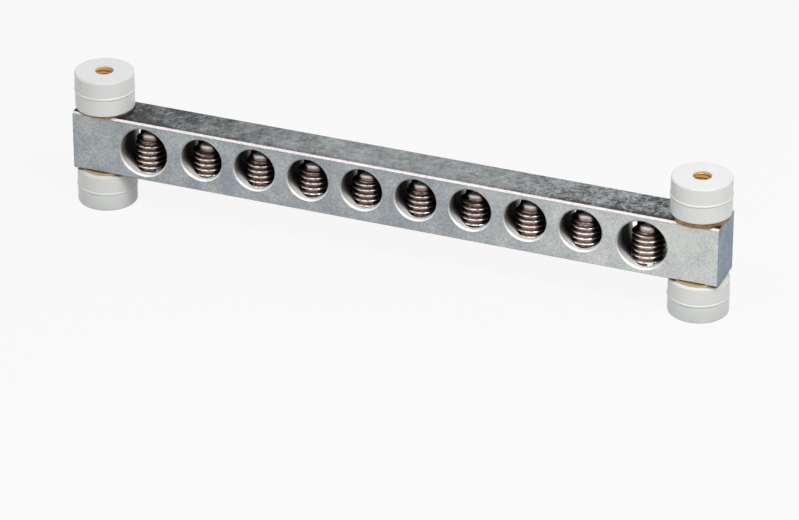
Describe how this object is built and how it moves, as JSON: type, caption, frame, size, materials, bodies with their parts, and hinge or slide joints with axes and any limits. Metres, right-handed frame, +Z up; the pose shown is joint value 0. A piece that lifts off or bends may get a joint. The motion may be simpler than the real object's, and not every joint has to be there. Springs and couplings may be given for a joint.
{
  "type": "earth terminal bar",
  "caption": "Plated metal terminal bar with a row of round wire holes, each crossed by a grub screw from below, held between white insulating pillars at both ends.",
  "frame": {"origin": "centre of the rectangle round the two lower pillars' feet, on the surface that they stand on", "axes": "+X along the bar, to the right as seen from the wire side; -Y out of the wire side; +Z up"},
  "size_m": [0.1208, 0.0108, 0.0255],
  "materials": {
    "bar_plating": "dull, finely speckled plating",
    "screw_steel": "yellow-passivated thread",
    "pillar_plastic": "white moulding, satin",
    "insert_brass": "turned brass, dulled"
  },
  "bodies": {
    "terminal_bar": {"bar": "bar_plating", "upper_left_pillar": "pillar_plastic", "upper_right_pillar": "pillar_plastic", "lower_left_pillar": "pillar_plastic", "lower_right_pillar": "pillar_plastic", "upper_left_insert": "insert_brass", "upper_right_insert": "insert_brass", "lower_left_insert": "insert_brass", "lower_right_insert": "insert_brass", "packing_washer": "insert_brass"},
    "clamp_screw_1": {"clamp_screw_1": "screw_steel"},
    "clamp_screw_2": {"clamp_screw_2": "screw_steel"},
    "clamp_screw_3": {"clamp_screw_3": "screw_steel"},
    "clamp_screw_4": {"clamp_screw_4": "screw_steel"},
    "clamp_screw_5": {"clamp_screw_5": "screw_steel"},
    "clamp_screw_6": {"clamp_screw_6": "screw_steel"},
    "clamp_screw_7": {"clamp_screw_7": "screw_steel"},
    "clamp_screw_8": {"clamp_screw_8": "screw_steel"},
    "clamp_screw_9": {"clamp_screw_9": "screw_steel"},
    "clamp_screw_10": {"clamp_screw_10": "screw_steel"}
  },
  "joints": [
    {"name": "clamp_screw_1_travel", "type": "slide", "parent": "terminal_bar", "child": "clamp_screw_1", "axis": [0, 0, 1], "range_m": [-0.006, 0.0008]},
    {"name": "clamp_screw_2_travel", "type": "slide", "parent": "terminal_bar", "child": "clamp_screw_2", "axis": [0, 0, 1], "range_m": [-0.006, 0.0008]},
    {"name": "clamp_screw_3_travel", "type": "slide", "parent": "terminal_bar", "child": "clamp_screw_3", "axis": [0, 0, 1], "range_m": [-0.006, 0.0008]},
    {"name": "clamp_screw_4_travel", "type": "slide", "parent": "terminal_bar", "child": "clamp_screw_4", "axis": [0, 0, 1], "range_m": [-0.006, 0.0008]},
    {"name": "clamp_screw_5_travel", "type": "slide", "parent": "terminal_bar", "child": "clamp_screw_5", "axis": [0, 0, 1], "range_m": [-0.006, 0.0008]},
    {"name": "clamp_screw_6_travel", "type": "slide", "parent": "terminal_bar", "child": "clamp_screw_6", "axis": [0, 0, 1], "range_m": [-0.006, 0.0008]},
    {"name": "clamp_screw_7_travel", "type": "slide", "parent": "terminal_bar", "child": "clamp_screw_7", "axis": [0, 0, 1], "range_m": [-0.006, 0.0008]},
    {"name": "clamp_screw_8_travel", "type": "slide", "parent": "terminal_bar", "child": "clamp_screw_8", "axis": [0, 0, 1], "range_m": [-0.006, 0.0008]},
    {"name": "clamp_screw_9_travel", "type": "slide", "parent": "terminal_bar", "child": "clamp_screw_9", "axis": [0, 0, 1], "range_m": [-0.006, 0.0008]},
    {"name": "clamp_screw_10_travel", "type": "slide", "parent": "terminal_bar", "child": "clamp_screw_10", "axis": [0, 0, 1], "range_m": [-0.006, 0.0008]}
  ]
}
